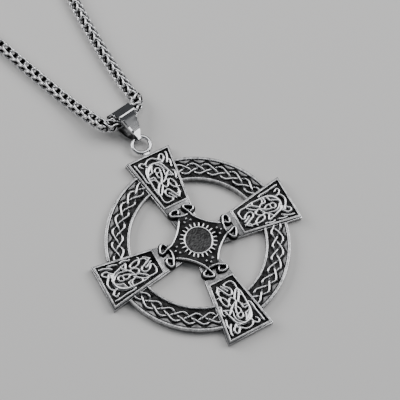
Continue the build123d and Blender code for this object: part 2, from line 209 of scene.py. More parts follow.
# Each stroke is a row of (column, row, width), from one end to the other.
panel_chart = {
    "left_bar": [
        (-4.5, 14.0, 0.5), (-4.45, 13.1, 0.5), (-4.25, 11.9, 0.42), (-4.05, 10.6, 0.42),
        (-4.0, 9.3, 0.42), (-3.9, 8.4, 0.42), (-3.65, 8.0, 0.42),
    ],
    "left_ear": [
        (-3.0, 12.4, 0.3), (-3.35, 12.9, 0.38), (-3.5, 13.4, 0.42), (-3.2, 13.8, 0.42),
        (-2.75, 13.85, 0.42), (-2.35, 13.5, 0.42), (-1.95, 13.1, 0.42), (-1.85, 12.3, 0.42),
    ],
    "brow": [
        (-2.0, 13.0, 0.42), (-1.4, 13.7, 0.42), (-0.7, 14.0, 0.42), (0.0, 14.05, 0.42),
        (0.7, 13.85, 0.42), (1.3, 13.4, 0.42), (1.8, 12.95, 0.42),
    ],
    "right_ear": [
        (1.75, 12.9, 0.42), (2.35, 13.6, 0.42), (2.85, 14.1, 0.42), (3.3, 14.0, 0.42),
        (3.52, 13.4, 0.42), (3.4, 12.75, 0.42), (2.9, 12.35, 0.42), (2.3, 11.7, 0.42),
    ],
    "right_ear_fold": [(1.75, 12.95, 0.4), (2.25, 12.75, 0.4), (2.5, 12.3, 0.4), (2.35, 11.8, 0.4)],
    "cheek": [(1.0, 12.3, 0.38), (1.6, 12.25, 0.38), (2.3, 12.0, 0.38)],
    "back": [
        (-2.75, 3.8, 0.42), (-3.0, 4.6, 0.42), (-3.05, 6.2, 0.45), (-3.05, 7.5, 0.5),
        (-3.0, 8.8, 0.5), (-2.85, 9.9, 0.6), (-2.45, 10.9, 0.95), (-1.85, 11.7, 1.15),
        (-1.0, 12.25, 0.85), (-0.1, 12.45, 0.6), (0.8, 12.3, 0.5), (1.6, 11.9, 0.5),
        (2.15, 11.2, 0.5), (2.45, 10.3, 0.55), (2.8, 9.2, 0.5), (3.1, 8.2, 0.45), (3.3, 7.4, 0.42),
    ],
    "shoulder": [(-2.6, 9.9, 0.35), (-2.0, 10.1, 0.38), (-1.4, 10.2, 0.42)],
    "collar": [(-1.4, 10.2, 0.36), (-1.2, 10.9, 0.36), (-0.9, 11.6, 0.36), (-0.5, 12.2, 0.36)],
    "neck": [
        (0.2, 12.3, 0.3), (1.0, 11.6, 0.3), (1.55, 10.8, 0.3), (1.75, 9.9, 0.3), (1.6, 9.1, 0.3),
        (1.45, 8.0, 0.3),
    ],
    "brow_ring": [
        (-0.5, 9.7, 0.38), (-0.55, 10.3, 0.4), (-0.25, 10.8, 0.4), (0.2, 10.95, 0.4),
        (0.7, 10.75, 0.4), (0.9, 10.2, 0.4), (0.7, 9.65, 0.4),
    ],
    "brow_ring_foot": [(0.8, 9.75, 0.36), (0.1, 9.55, 0.36), (-0.55, 9.65, 0.36)],
    "muzzle_left": [(-0.45, 9.7, 0.36), (-0.6, 9.0, 0.38), (-0.5, 8.4, 0.38), (0.1, 7.6, 0.4)],
    "muzzle_right": [(0.65, 9.75, 0.36), (0.65, 9.1, 0.38), (0.5, 8.5, 0.38), (0.2, 7.8, 0.4)],
    "tongue": [
        (0.2, 7.9, 0.42), (-0.15, 7.3, 0.42), (-0.55, 6.6, 0.42), (-0.62, 6.1, 0.42), (-0.4, 5.6, 0.42),
    ],
    "right_leg": [
        (2.45, 8.85, 0.42), (1.8, 8.2, 0.45), (1.1, 7.5, 0.42), (0.4, 6.95, 0.42), (-0.4, 6.6, 0.42),
    ],
    "right_heel": [(2.3, 8.7, 0.38), (2.85, 8.95, 0.38), (3.05, 8.4, 0.38)],
    "right_toe": [(1.9, 8.1, 0.38), (2.5, 7.75, 0.4), (3.3, 7.35, 0.45)],
    "left_elbow": [
        (-3.0, 8.9, 0.38), (-2.3, 8.9, 0.38), (-1.75, 8.95, 0.4), (-1.5, 8.4, 0.4), (-1.45, 7.7, 0.4),
        (-1.25, 7.0, 0.4), (-0.9, 6.6, 0.4),
    ],
    "left_elbow_fold": [(-2.95, 8.2, 0.3), (-2.3, 8.25, 0.3), (-1.9, 8.1, 0.3), (-1.5, 7.5, 0.3)],
    "left_leg": [
        (-1.0, 6.9, 0.45), (-1.7, 6.0, 0.45), (-2.2, 5.3, 0.42), (-2.6, 4.5, 0.4), (-2.75, 3.8, 0.38),
    ],
    "left_knee": [(-3.05, 5.7, 0.38), (-2.6, 5.45, 0.4), (-2.1, 5.5, 0.4)],
    "left_foot": [
        (-0.5, 5.9, 0.42), (-0.9, 5.3, 0.42), (-1.4, 4.6, 0.42), (-1.9, 4.0, 0.42), (-2.6, 3.5, 0.42),
    ],
    "belly": [
        (-0.5, 5.7, 0.45), (-0.1, 5.2, 0.42), (0.4, 5.15, 0.4), (0.8, 5.5, 0.4), (1.1, 5.9, 0.4),
        (1.3, 6.4, 0.4),
    ],
    "hip": [(0.9, 7.3, 0.38), (1.2, 6.9, 0.38), (1.3, 6.3, 0.38)],
    "thigh_outer": [
        (1.25, 6.2, 0.42), (1.65, 6.75, 0.42), (2.2, 6.6, 0.42), (2.6, 5.9, 0.42), (2.8, 5.0, 0.42),
        (2.7, 4.3, 0.42), (2.3, 3.9, 0.42),
    ],
    "thigh_inner": [(1.25, 6.4, 0.4), (1.3, 5.7, 0.4), (1.45, 5.1, 0.4), (1.8, 4.4, 0.4), (2.4, 3.9, 0.4)],
    "spur": [(2.3, 3.9, 0.4), (2.9, 3.85, 0.42), (3.3, 3.9, 0.45)],
    "shin": [(2.5, 3.9, 0.38), (2.6, 3.0, 0.38), (2.3, 2.5, 0.38), (1.8, 2.2, 0.38)],
    "tail": [
        (-0.1, 4.45, 0.42), (-0.7, 4.25, 0.42), (-1.0, 3.8, 0.4), (-1.05, 3.2, 0.4), (-0.8, 2.6, 0.4),
        (-0.35, 2.1, 0.4), (0.05, 1.7, 0.4), (-0.05, 1.25, 0.42), (-0.6, 1.05, 0.42),
        (-1.3, 1.0, 0.42), (-2.0, 1.1, 0.42), (-2.5, 1.6, 0.42), (-2.65, 2.4, 0.42),
        (-2.65, 3.2, 0.42), (-2.75, 3.95, 0.42),
    ],
    "haunch": [
        (-0.3, 4.45, 0.42), (0.3, 4.2, 0.45), (0.75, 3.4, 0.5), (1.2, 2.5, 0.5), (1.6, 1.7, 0.5),
        (1.85, 1.2, 0.45),
    ],
    "haunch_bar": [(-0.1, 3.15, 0.42), (0.3, 2.5, 0.35), (0.65, 1.85, 0.35), (0.95, 1.25, 0.35)],
    "claw": [(1.75, 1.2, 0.42), (2.3, 1.9, 0.42), (2.8, 2.5, 0.42)],
    "right_bar": [
        (4.65, 14.1, 0.45), (4.6, 13.4, 0.42), (4.35, 12.6, 0.42), (4.0, 11.9, 0.42), (3.5, 11.2, 0.42),
    ],
    "right_bar_fold": [(4.6, 11.9, 0.38), (4.5, 11.0, 0.42), (4.3, 10.3, 0.42), (4.1, 9.6, 0.38)],
    "right_hook": [
        (3.95, 8.7, 0.38), (4.2, 8.2, 0.4), (4.15, 7.5, 0.42), (3.9, 6.8, 0.42), (3.7, 6.4, 0.4),
        (3.85, 6.0, 0.4),
    ],
}

# The knot at the hub's upper tip, from the left arc's end to the right one's, as shares of
# the tip's distance from the centre, with how far the strand rises: (across, along, rise).
tip_knot = [
    (-0.197, 1.02, -2.8), (-0.15, 1.135, 0.0), (-0.098, 1.227, 0.0), (-0.163, 1.292, 0.0),
    (-0.287, 1.305, 0.0), (-0.392, 1.253, 0.0), (-0.4, 1.18, 0.0), (-0.372, 1.136, 0.0),
    (-0.294, 1.097, 0.5), (-0.163, 1.031, 1.0), (-0.033, 1.0, 0.3), (0.098, 1.0, -0.4),
    (0.205, 1.018, -2.8), (0.32, 1.057, 0.0), (0.405, 1.105, 0.0), (0.428, 1.175, 0.0),
    (0.359, 1.253, 0.0), (0.268, 1.305, 0.0), (0.163, 1.331, 0.0), (0.124, 1.279, 0.0),
    (0.163, 1.162, 0.4), (0.21, 1.035, 1.0),
]
dot_places = [(0.0, 0.86), (0.114, 0.757), (-0.114, 0.757)]

# The chain's way round, from one end in the clasp to the other, in metres.
chain_route = [
    (-0.015, 0.2675, 0.0025), (-0.027, 0.2675, 0.0025), (-0.044, 0.262, 0.0015),
    (-0.0595, 0.246, 0.0015), (-0.0675, 0.2205, 0.0015), (-0.0665, 0.191, 0.0015),
    (-0.059, 0.161, 0.0015), (-0.048, 0.133, 0.0015), (-0.0365, 0.11, 0.0015),
    (-0.0265, 0.091, 0.0015), (-0.0192, 0.072, 0.0015), (-0.013, 0.0545, 0.0015),
    (-0.0091, 0.044, 0.0028), (-0.0064, 0.037, 0.005), (0.0052, 0.0406, 0.0023),
    (0.0044, 0.0466, 0.0015), (0.0036, 0.059, 0.0015), (0.0039, 0.079, 0.0015),
    (0.0065, 0.103, 0.0015), (0.013, 0.13, 0.0015), (0.024, 0.157, 0.0015),
    (0.0355, 0.186, 0.0015), (0.04, 0.216, 0.0015), (0.0345, 0.243, 0.0015),
    (0.0205, 0.2605, 0.0015), (0.007, 0.2675, 0.0025), (-0.005, 0.2675, 0.0025),
]

# The camera stands where the photograph was taken from.
camera_place = (-0.08407, -0.0965, 0.32544)
camera_azimuth = -40.27
camera_elevation = 66.69
camera_roll = 12.08
camera_lens = 122.8
sensor_width = 36.0


# Modelling steps

def nothing_selected():
    if bpy.context.object and bpy.context.object.mode != "OBJECT":
        bpy.ops.object.mode_set(mode="OBJECT")
    bpy.ops.object.select_all(action="DESELECT")


def make_active(piece):
    nothing_selected()
    piece.select_set(True)
    bpy.context.view_layer.objects.active = piece


def started(name):
    """The primitive just added, named and settled at the origin."""
    piece = bpy.context.object
    piece.name = name
    bpy.ops.object.transform_apply(location=True, rotation=True, scale=True)
    return piece


def pick(piece, test, kind="FACE"):
    """Select in edit mode the faces, edges or corners whose middle and normal pass the test."""
    make_active(piece)
    bpy.ops.object.mode_set(mode="EDIT")
    bpy.ops.mesh.select_mode(type=kind)
    bpy.ops.mesh.select_all(action="DESELECT")
    shape = bmesh.from_edit_mesh(piece.data)
    if kind == "FACE":
        for face in shape.faces:
            if test(face.calc_center_median(), face.normal):
                face.select_set(True)
    if kind == "EDGE":
        for edge in shape.edges:
            if test((edge.verts[0].co + edge.verts[1].co) / 2, edge.verts[1].co - edge.verts[0].co):
                edge.select_set(True)
    if kind == "VERT":
        for corner in shape.verts:
            if test(corner.co, corner.normal):
                corner.select_set(True)
    bmesh.update_edit_mesh(piece.data)


def pull(x, y, z):
    """Extrude what is selected and move it."""
    bpy.ops.mesh.extrude_region_move(TRANSFORM_OT_translate={"value": (x, y, z)})


def cut_across(piece, place, normal, clear_below=False, fill=False):
    make_active(piece)
    bpy.ops.object.mode_set(mode="EDIT")
    bpy.ops.mesh.select_all(action="SELECT")
    bpy.ops.mesh.bisect(plane_co=place, plane_no=normal, clear_inner=clear_below, use_fill=fill)
    bpy.ops.object.mode_set(mode="OBJECT")


def face_outwards(piece):
    make_active(piece)
    bpy.ops.object.mode_set(mode="EDIT")
    bpy.ops.mesh.select_all(action="SELECT")
    bpy.ops.mesh.remove_doubles(threshold=0.0005)
    bpy.ops.mesh.normals_make_consistent(inside=False)
    bpy.ops.object.mode_set(mode="OBJECT")


def round_edges(piece, width, segments=3, angle=35.0):
    make_active(piece)
    bevel = piece.modifiers.new("rounded", "BEVEL")
    bevel.width = width
    bevel.segments = segments
    bevel.limit_method = "ANGLE"
    bevel.angle_limit = radians(angle)
    bevel.use_clamp_overlap = True
    bpy.ops.object.modifier_apply(modifier=bevel.name)


def give_finishes(piece, *materials):
    for material in materials:
        piece.data.materials.append(material)


def paint_edge_highlights(piece, above, finish):
    """Give the rounded edges above one height, neither flat nor upright, the finish of that number: a
    brighter steel that paints a highlight along them.
    """
    for face in piece.data.polygons:
        if face.center.z > above and 0.1 < face.normal.z < 0.97:
            face.material_index = finish


def smooth(piece, angle=40.0):
    make_active(piece)
    bpy.ops.object.shade_smooth_by_angle(angle=radians(angle))


def turn_of(angle):
    """A turn about Z, in degrees."""
    return Matrix.Rotation(radians(angle), 4, "Z")


def turned_copy(piece, name, matrix):
    copy = piece.copy()
    copy.data = piece.data.copy()
    copy.data.transform(matrix)
    copy.name = name
    bpy.context.collection.objects.link(copy)
    return copy


def joined(name, pieces):
    nothing_selected()
    for piece in pieces:
        piece.select_set(True)
    bpy.context.view_layer.objects.active = pieces[0]
    if len(pieces) > 1:
        bpy.ops.object.join()
    whole = bpy.context.object
    whole.name = name
    whole.data.name = name
    return whole


def four_round(piece, name):
    """The piece and its three copies, a quarter turn apart."""
    copies = []
    for k, quarter in enumerate(quarters):
        copies.append(turned_copy(piece, quarter + "_" + name, turn_of(90 * k)))
    bpy.data.objects.remove(piece)
    return copies


def hand_over(piece, node, slot, *materials):
    """Bring a finished piece to metres and let it stand for its node."""
    piece.data.transform(Matrix.Scale(1 / metre, 4))
    piece.data.update()
    if materials:
        piece.data.materials.clear()
        give_finishes(piece, *materials)
    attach(piece, "root")
    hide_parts(node)


def dress_cross(piece, *materials):
    hand_over(piece, "cross_pendant", "antiqued_steel", *materials)


# Finishes

def new_material(name):
    material = bpy.data.materials.new(name)
    material.use_nodes = True
    nodes = material.node_tree.nodes
    return material, nodes, material.node_tree.links, nodes["Principled BSDF"]


def millimetre_place(nodes, links):
    """Object coordinates in millimetres."""
    place = nodes.new("ShaderNodeTexCoord")
    mapping = nodes.new("ShaderNodeMapping")
    mapping.inputs["Scale"].default_value = (metre, metre, metre)
    links.new(place.outputs["Object"], mapping.inputs["Vector"])
    return mapping.outputs["Vector"]


def noise(nodes, links, place, scale, detail=4.0):
    texture = nodes.new("ShaderNodeTexNoise")
    texture.inputs["Scale"].default_value = scale
    texture.inputs["Detail"].default_value = detail
    links.new(place, texture.inputs["Vector"])
    return texture.outputs["Fac"]


def ranged(nodes, links, value, low, high, to_low, to_high):
    spread = nodes.new("ShaderNodeMapRange")
    spread.inputs["From Min"].default_value = low
    spread.inputs["From Max"].default_value = high
    spread.inputs["To Min"].default_value = to_low
    spread.inputs["To Max"].default_value = to_high
    links.new(value, spread.inputs["Value"])
    return spread.outputs["Result"]


def bump(nodes, links, height, distance, shader):
    relief = nodes.new("ShaderNodeBump")
    relief.inputs["Strength"].default_value = 1.0
    relief.inputs["Distance"].default_value = distance / metre
    links.new(height, relief.inputs["Height"])
    links.new(relief.outputs["Normal"], shader.inputs["Normal"])


def grey(value):
    return (value, value, value * 1.02, 1.0)


def grey_ramp(nodes, links, value, dark, bright, start=0.0, stop=1.0):
    """A grey that goes from dark to bright while the value goes from start to stop."""
    ramp = nodes.new("ShaderNodeValToRGB")
    ramp.color_ramp.elements[0].position = start
    ramp.color_ramp.elements[1].position = stop
    ramp.color_ramp.elements[0].color = grey(dark)
    ramp.color_ramp.elements[1].color = grey(bright)
    links.new(value, ramp.inputs["Fac"])
    return ramp.outputs["Color"]


def antiqued(name, low, high, dark, bright, rough_hollows, rough_heights):
    """Steel that is blackened in its hollows and polished on its heights, between two levels."""
    material, nodes, links, shader = new_material(name)
    shader.inputs["Metallic"].default_value = 1.0
    place = millimetre_place(nodes, links)
    split = nodes.new("ShaderNodeSeparateXYZ")
    links.new(place, split.inputs["Vector"])
    patches = noise(nodes, links, place, scale=1.1)
    uneven = nodes.new("ShaderNodeMath")
    uneven.operation = "MULTIPLY_ADD"
    links.new(patches, uneven.inputs[0])
    uneven.inputs[1].default_value = (high - low) * 0.5
    links.new(split.outputs["Z"], uneven.inputs[2])
    shift = (high - low) * 0.25
    rise = ranged(nodes, links, uneven.outputs[0], low + shift, high + shift, 0.0, 1.0)
    roughness = ranged(nodes, links, rise, 0.0, 1.0, rough_hollows, rough_heights)
    links.new(grey_ramp(nodes, links, rise, dark, bright), shader.inputs["Base Color"])
    links.new(roughness, shader.inputs["Roughness"])
    bump(nodes, links, noise(nodes, links, place, scale=9.0, detail=6.0), 0.012, shader)
    return material


def worn_steel(name, dark, bright, rough_bright, rough_dark, patch_scale, grain_height):
    """Steel of one finish with soft patches of two greys and a fine grain."""
    material, nodes, links, shader = new_material(name)
    shader.inputs["Metallic"].default_value = 1.0
    place = millimetre_place(nodes, links)
    patches = noise(nodes, links, place, patch_scale)
    start, stop = 0.3, 0.7
    roughness = ranged(nodes, links, patches, start, stop, rough_dark, rough_bright)
    links.new(grey_ramp(nodes, links, patches, dark, bright, start, stop), shader.inputs["Base Color"])
    links.new(roughness, shader.inputs["Roughness"])
    bump(nodes, links, noise(nodes, links, place, scale=12.0, detail=6.0), grain_height, shader)
    return material


def streaked_steel(name, dark, bright, angle, stretch):
    """Rough blackened steel with streaks that run at one angle."""
    material, nodes, links, shader = new_material(name)
    shader.inputs["Metallic"].default_value = 1.0
    shader.inputs["Roughness"].default_value = 0.45
    along = nodes.new("ShaderNodeMapping")
    along.vector_type = "TEXTURE"
    along.inputs["Rotation"].default_value = (0, 0, radians(angle))
    along.inputs["Scale"].default_value = (stretch, 1, 1)
    links.new(millimetre_place(nodes, links), along.inputs["Vector"])
    streaks = noise(nodes, links, along.outputs["Vector"], scale=4.0, detail=8.0)
    colour = grey_ramp(nodes, links, streaks, dark, bright, start=0.35, stop=0.7)
    links.new(colour, shader.inputs["Base Color"])
    bump(nodes, links, streaks, 0.06, shader)
    return material


def linked_steel(name, low, high, dark, bright):
    """Polished wire, painted dark towards the chain's middle line as shade between the links."""
    material, nodes, links, shader = new_material(name)
    shader.inputs["Metallic"].default_value = 1.0
    reach = nodes.new("ShaderNodeAttribute")
    reach.attribute_name = "outward"
    rise = ranged(nodes, links, reach.outputs["Fac"], low, high, 0.0, 1.0)
    roughness = ranged(nodes, links, rise, 0.0, 1.0, 0.5, 0.2)
    links.new(grey_ramp(nodes, links, rise, dark, bright), shader.inputs["Base Color"])
    links.new(roughness, shader.inputs["Roughness"])
    return material


# The two greys, the bright and dark patches' roughness, patches per millimetre, height of the grain
rim_steel = worn_steel("rim_steel", 0.14, 0.44, 0.2, 0.36, 0.9, 0.01)
# Brighter steel: the loop's polished wire, and a painted highlight on rounded upper edges and the arms'
# step.
polish_and_highlight_steel = worn_steel("polish_and_highlight_steel", 0.62, 0.8, 0.16, 0.26, 0.9, 0.004)
root_steel = worn_steel("root_steel", 0.2, 0.36, 0.32, 0.45, 1.5, 0.02)
floor_black = worn_steel("floor_black", 0.005, 0.05, 0.45, 0.6, 0.5, 0.05)
dot_steel = worn_steel("dot_steel", 0.6, 0.75, 0.2, 0.3, 1.0, 0.002)
wedge_steel = worn_steel("wedge_steel", 0.1, 0.24, 0.3, 0.45, 1.5, 0.02)
ring_black = worn_steel("ring_black", 0.006, 0.06, 0.4, 0.6, 1.0, 0.05)
bail_steel = worn_steel("bail_steel", 0.42, 0.52, 0.08, 0.12, 0.4, 0.0002)
# Dark steel for painted shade inside the bail's fold.
bail_painted_shade = worn_steel("bail_painted_shade", 0.04, 0.12, 0.3, 0.4, 0.8, 0.01)
clasp_finish = worn_steel("clasp_finish", 0.4, 0.54, 0.1, 0.2, 0.6, 0.004)

# The lower and upper level, the two greys, the roughness in the hollows and on the heights
panel_steel = antiqued("panel_steel", 1.85, 2.2, 0.008, 0.72, 0.4, 0.12)
plait_steel = antiqued("plait_steel", 1.55, 1.92, 0.008, 0.72, 0.4, 0.12)
hub_steel = antiqued("hub_steel", 2.82, 3.16, 0.008, 0.74, 0.4, 0.12)

disc_grey = streaked_steel("disc_grey", dark=0.01, bright=0.1, angle=14.5, stretch=2.5)
# Wire painted dark towards the chain's middle line: painted shade where the links crowd together.
link_steel_painted_shade = linked_steel("link_steel_painted_shade", low=1.05, high=1.48, dark=0.012, bright=0.9)


# Strands

def strand_profile():
    """A half-round crown on drafted walls, with the crown's top at the strand's own line."""
    half = strand_unit / 2
    outline = []
    for k in range(7):
        turn = pi * k / 6
        outline.append((half * cos(turn), half * (sin(turn) - 1)))
    outline.append((-half - strand_draft, -strand_wall))
    outline.append((half + strand_draft, -strand_wall))
    curve = bpy.data.curves.new("strand_profile", "CURVE")
    curve.dimensions = "2D"
    spline = curve.splines.new("POLY")
    spline.points.add(len(outline) - 1)
    for point, (x, y) in zip(spline.points, outline):
        point.co = (x, y, 0, 1)
    spline.use_cyclic_u = True
    profile = bpy.data.objects.new("strand_profile", curve)
    bpy.context.collection.objects.link(profile)
    return profile


def strands(name, runs, foot, profile, closed=False, resolution=4):
    """Strands through rows of (x, y, crown height, width), cut off level at the foot."""
    curve = bpy.data.curves.new(name, "CURVE")
    curve.dimensions = "3D"
    curve.twist_mode = "Z_UP"
    curve.bevel_mode = "OBJECT"
    curve.bevel_object = profile
    curve.use_fill_caps = True
    curve.resolution_u = resolution
    for rows in runs:
        spline = curve.splines.new("BEZIER")
        spline.bezier_points.add(len(rows) - 1)
        for point, (x, y, z, width) in zip(spline.bezier_points, rows):
            point.co = (x, y, z)
            point.radius = width / strand_unit
            point.handle_left_type = "AUTO"
            point.handle_right_type = "AUTO"
        spline.use_cyclic_u = closed
    piece = bpy.data.objects.new(name, curve)
    bpy.context.collection.objects.link(piece)
    make_active(piece)
    bpy.ops.object.convert(target="MESH")
    piece = bpy.context.object
    face_outwards(piece)
    cut_across(piece, (0, 0, foot), (0, 0, 1), clear_below=True, fill=True)
    face_outwards(piece)
    smooth(piece)
    return piece


def rounded_ends(rows):
    """The rows with each end drawn in, so that the strand closes round and tucks under."""
    first, second = rows[0], rows[1]
    last, before = rows[-1], rows[-2]
    ends = []
    for end, beside in ((first, second), (last, before)):
        away = Vector(end[:2]) - Vector(beside[:2])
        out = Vector(end[:2]) + away.normalized() * end[3] * end_reach_share
        ends.append((out.x, out.y, end[2] - stroke_tuck, end[3] * end_width_share))
    return [ends[0], *rows, ends[1]]


# Arms

def arm_half_width(y):
    """Half the arm's width at one distance from the cross's middle."""
    slope = (arm_end_width - arm_root_width) / 2 / (arm_reach - arm_root_at)
    return arm_root_width / 2 + slope * (y - arm_root_at)


def flared_slab(name, end, setback, height):
    """A slab as wide as the arm, less a setback on each side."""
    nothing_selected()
    middle = (end + arm_start) / 2
    bpy.ops.mesh.primitive_cube_add(size=1, location=(0, middle, height / 2))
    bpy.context.object.scale = (1, end - arm_start, height)
    slab = started(name)
    for y in (arm_start, end):
        pick(slab, lambda co, normal: abs(co.y - y) < near, "VERT")
        width = 2 * (arm_half_width(y) - setback)
        bpy.ops.transform.resize(value=(width, 1, 1), center_override=(0, y, 0))
        bpy.ops.object.mode_set(mode="OBJECT")
    return slab


def model_arm():
    """A body with a rim raised round a sunk panel, on a base that is a step wider."""
    body_end = arm_reach - side_step_width
    arm = flared_slab("arm", body_end, side_step_width, arm_step_height)
    cut_across(arm, (0, arm_step_at, 0), (0, 1, 0))
    cut_across(arm, (0, arm_rim_start, 0), (0, 1, 0))
    pick(arm, lambda co, normal: normal.z > 0.9 and co.y > arm_step_at)
    pull(0, 0, arm_root_flat_height - arm_step_height)
    pick(arm, lambda co, normal: normal.z > 0.9 and co.y > arm_rim_start)
    pull(0, 0, arm_thickness - arm_root_flat_height)
    bpy.ops.mesh.inset(thickness=rim_width, depth=0)
    middle = (body_end + arm_rim_start) / 2
    inner_half = arm_half_width(middle) - side_step_width - rim_width
    narrower = (inner_half - (side_rim_width - rim_width)) / inner_half
    bpy.ops.transform.resize(value=(narrower, 1, 1), center_override=(0, middle, arm_thickness))
    pull(0, 0, -panel_depth)
    bpy.ops.object.mode_set(mode="OBJECT")
    face_outwards(arm)
    give_finishes(arm, rim_steel, floor_black, root_steel, polish_and_highlight_steel)
    black_finish, root_finish, edge_finish = 1, 2, 3
    panel_floor = arm_thickness - panel_depth
    for face in arm.data.polygons:
        level = face.center.z
        on_root = face.center.y < arm_rim_start and level < arm_root_flat_height + near
        if face.normal.z > 0.9 and abs(level - panel_floor) < near:
            face.material_index = black_finish
        if face.normal.z > 0.9 and on_root:
            face.material_index = root_finish
        # Every upright face turns black: patina on the panel's inner walls, and painted shade on the outer
        # walls and steps.
        if abs(face.normal.z) < 0.1:
            face.material_index = black_finish
    round_edges(arm, rim_bevel)
    paint_edge_highlights(arm, arm_root_flat_height - rim_bevel, edge_finish)
    base = flared_slab("arm_base", arm_reach, 0.0, side_step_height)
    give_finishes(base, rim_steel, polish_and_highlight_steel)
    round_edges(base, side_step_bevel)
    # Faces turned up on the base take the brighter steel, a painted highlight along the step.
    for face in base.data.polygons:
        if face.normal.z > 0.1:
            face.material_index = 1
    whole = joined("arm", [arm, base])
    smooth(whole)
    return whole


def model_panel_relief(profile):
    """The charted strokes laid out on the real panel."""
    low = arm_rim_start + rim_width
    height = arm_reach - side_step_width - rim_width - low
    runs = []
    for rows in panel_chart.values():
        placed = []
        for column, row, width in rows:
            y = low + height * row / chart_rows
            half_columns = chart_root_columns + (chart_end_columns - chart_root_columns) * row / chart_rows
            scale = (arm_half_width(y) - side_step_width - side_rim_width) / half_columns
            placed.append((column * scale, y, stroke_crown, width * stroke_gain))
        runs.append(rounded_ends(placed))
    return strands("relief", runs, arm_thickness - panel_depth - floor_cover, profile)


# Ring

def on_rim_top(co, along, inner, outer):
    """Whether an edge of the ring's section lies level on its top, between two radii."""
    return co.z > ring_floor - near and inner < co.x < outer and abs(along.z) < near


def model_ring_quarter():
    """One quarter of the ring, spun from its cross-section between two arms."""
    nothing_selected()
    width = ring_outer - ring_inner
    middle = (ring_outer + ring_inner) / 2
    bpy.ops.mesh.primitive_plane_add(size=1, location=(middle, 0, ring_floor / 2), rotation=(pi / 2, 0, 0))
    bpy.context.object.scale = (width, ring_floor, 1)
    section = started("ring_band")
    outer_edge = ring_outer - ring_outer_rim
    inner_edge = ring_inner + ring_inner_rim
    for radius in (outer_edge, inner_edge):
        cut_across(section, (radius, 0, 0), (1, 0, 0))
    for inner, outer in ((outer_edge, ring_outer), (ring_inner, inner_edge)):
        pick(section, lambda co, along: on_rim_top(co, along, inner, outer), "EDGE")
        pull(0, 0, ring_height - ring_floor)
        bpy.ops.object.mode_set(mode="OBJECT")
    section.data.transform(turn_of(ring_start_turn))
    make_active(section)
    bpy.ops.object.mode_set(mode="EDIT")
    bpy.ops.mesh.select_all(action="SELECT")
    sweep = -radians(90 - 2 * ring_start_turn)
    bpy.ops.mesh.spin(steps=ring_steps, angle=sweep, center=(0, 0, 0), axis=(0, 0, 1))
    bpy.ops.object.mode_set(mode="OBJECT")
    return section


def tidy_ring(ring):
    """Close the spun ring, give its levels their finishes and round its rims."""
    face_outwards(ring)
    give_finishes(ring, rim_steel, ring_black, polish_and_highlight_steel)
    black_finish, edge_finish = 1, 2
    for face in ring.data.polygons:
        if face.normal.z > 0.9 and abs(face.center.z - ring_floor) < near:
            face.material_index = black_finish
    round_edges(ring, ring_bevel)
    paint_edge_highlights(ring, ring_height - ring_bevel, edge_finish)
    smooth(ring)
    return ring


def plait_rows(strand, start, stop):
    """One strand of three, over one neighbour and under the next."""
    rows = []
    steps = round((stop - start) / plait_step)
    for i in range(steps + 1):
        turn = start + i * (stop - start) / steps
        phase = 2 * pi * ((turn - plait_peak_at) / plait_turn + strand / 3)
        swing = (cos(phase) + plait_sharpness * cos(3 * phase)) / (1 + plait_sharpness)
        radius = plait_radius + plait_swing * swing
        under = max(0.0, cos(2 * (phase - pi / 3))) ** 2
        crown = plait_crown - plait_dip * under
        rows.append((radius * cos(radians(turn)), radius * sin(radians(turn)), crown, plait_width))
    return rows


def model_plait(profile):
    """The three strands over one quarter of the ring."""
    start = ring_start_turn + plait_end_turn
    runs = [plait_rows(strand, start, 90 - start) for strand in range(3)]
    return strands("plait", runs, ring_floor - floor_cover, profile, resolution=2)


def model_wedges():
    """Low three-sided wedges that fill the space between the plait's outer peaks and the rim."""
    nothing_selected()
    low = ring_floor - floor_cover
    middle = (wedge_outer - wedge_depth / 2, 0, (low + wedge_height) / 2)
    bpy.ops.mesh.primitive_cube_add(size=1, location=middle)
    bpy.context.object.scale = (wedge_depth, wedge_length, wedge_height - low)
    wedge = started("wedge")
    pick(wedge, lambda co, normal: normal.x < -0.9)
    bpy.ops.transform.resize(value=(1, wedge_point / wedge_length, 1), center_override=(0, 0, 0))
    bpy.ops.object.mode_set(mode="OBJECT")
    round_edges(wedge, wedge_bevel, segments=2, angle=25.0)
    smooth(wedge)
    pitch = plait_turn / 3
    wedges = []
    for k in range(wedge_count):
        turn = plait_peak_at + pitch * (k - (wedge_count - 1) / 2)
        wedges.append(turned_copy(wedge, "wedge", turn_of(turn)))
    bpy.data.objects.remove(wedge)
    return joined("wedges", wedges)


# Hub

def model_hub_plate():
    """A four-pointed plate: a square with a round bite out of each corner."""
    nothing_selected()
    reach = hub_tip + hub_strand_width / 2
    bpy.ops.mesh.primitive_cube_add(size=1, location=(0, 0, hub_floor / 2))
    bpy.context.object.scale = (2 * reach, 2 * reach, hub_floor)
    plate = started("hub_plate")
    for x_side in (-1, 1):
        for y_side in (-1, 1):
            nothing_selected()
            corner = (x_side * hub_arc_centre, y_side * hub_arc_centre, hub_floor / 2)
            bpy.ops.mesh.primitive_cylinder_add(
                vertices=192, radius=hub_arc_radius, depth=2 * hub_floor, location=corner
            )
            bite = started("bite")
            make_active(plate)
            cut = plate.modifiers.new("bite", "BOOLEAN")
            cut.operation = "DIFFERENCE"
            cut.object = bite
            bpy.ops.object.modifier_apply(modifier=cut.name)
            bpy.data.objects.remove(bite)
    face_outwards(plate)
    give_finishes(plate, root_steel, floor_black)
    for face in plate.data.polygons:
        if face.normal.z > 0.9:
            face.material_index = 1
    smooth(plate)
    return plate


